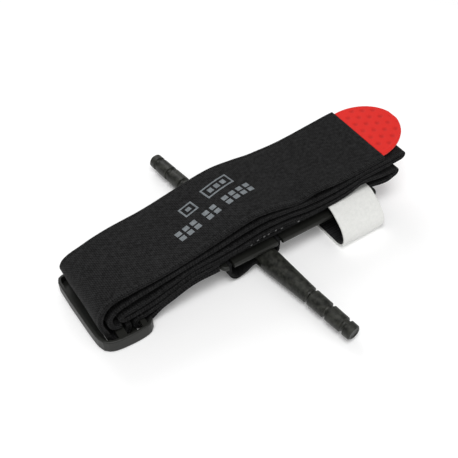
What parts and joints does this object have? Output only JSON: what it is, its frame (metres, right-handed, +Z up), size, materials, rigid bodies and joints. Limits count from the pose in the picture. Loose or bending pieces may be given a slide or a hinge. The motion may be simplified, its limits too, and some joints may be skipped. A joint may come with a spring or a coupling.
{
  "type": "tourniquet",
  "caption": "Windlass tourniquet folded for carrying: black hook-and-loop band with a red tip and a buckle, over a turning rod, a plate, a clip and a white time strap.",
  "frame": {"origin": "centre of the bounding box in X and Y, on the surface that the folded tourniquet lies on", "axes": "+X along the folded band towards its red tip, +Y across the band towards the far end of the rod, +Z up"},
  "size_m": [0.1711, 0.1398, 0.0364],
  "materials": {
    "black_webbing": "matte woven",
    "red_vinyl": "satin, embossed",
    "black_plastic": "moulded satin",
    "rod_plastic": "moulded satin",
    "white_webbing": "matte",
    "hook_tape": "matte hooks",
    "inner_strap": "matte woven",
    "rivet_metal": "dark satin"
  },
  "bodies": {
    "band": {"band_base_layer": "black_webbing", "band_buckle_loop": "black_webbing", "band_sewn_end": "black_webbing", "band_fold_right_lower": "black_webbing", "band_inner_lower_layer": "black_webbing", "band_fold_left_inner": "black_webbing", "band_inner_upper_layer": "black_webbing", "band_fold_right_upper": "black_webbing", "band_return_layer": "black_webbing", "band_return_turn": "black_webbing", "band_fold_left_outer": "black_webbing", "stabilization_plate": "black_plastic", "windlass_clip": "black_plastic", "clip_rivet_1": "rivet_metal", "clip_rivet_2": "rivet_metal", "clip_rivet_3": "rivet_metal", "clip_rivet_4": "rivet_metal", "clip_hook_patch": "hook_tape", "time_strap_anchor": "white_webbing"},
    "tail": {"band_tail": "black_webbing", "band_tip": "red_vinyl"},
    "buckle": {"buckle_frame": "black_plastic", "band_buckle_wrap": "black_webbing"},
    "windlass_slack": {"windlass_strap_arm_left": "inner_strap", "windlass_strap_arm_right": "inner_strap"},
    "windlass": {"windlass_rod": "rod_plastic", "windlass_strap_loop": "inner_strap"},
    "time_strap": {"time_strap": "white_webbing", "time_strap_lining": "hook_tape"}
  },
  "joints": [
    {"name": "tail_peel", "type": "hinge", "parent": "band", "child": "tail", "pos_m": [-0.0697, 0.0019, 0.024], "axis": [0, -1, 0], "range_deg": [0, 85], "deforming": ["band_fold_left_outer"]},
    {"name": "buckle_pivot", "type": "hinge", "parent": "band", "child": "buckle", "pos_m": [-0.0641, 0.0019, 0.0047], "axis": [0, -1, 0], "range_deg": [0, 12]},
    {"name": "windlass_lift", "type": "slide", "parent": "band", "child": "windlass_slack", "axis": [0, 0, 1], "range_m": [-0.008, 0], "deforming": ["windlass_strap_arm_left", "windlass_strap_arm_right"]},
    {"name": "windlass_turn", "type": "hinge", "parent": "windlass_slack", "child": "windlass", "pos_m": [-0.0027, 0, 0.0053], "axis": [0, 0, 1], "range_deg": [-65, 35]},
    {"name": "time_strap_open", "type": "hinge", "parent": "band", "child": "time_strap", "pos_m": [0.04595, -0.0175, 0.0172], "axis": [-1, 0, 0], "range_deg": [0, 80]}
  ]
}
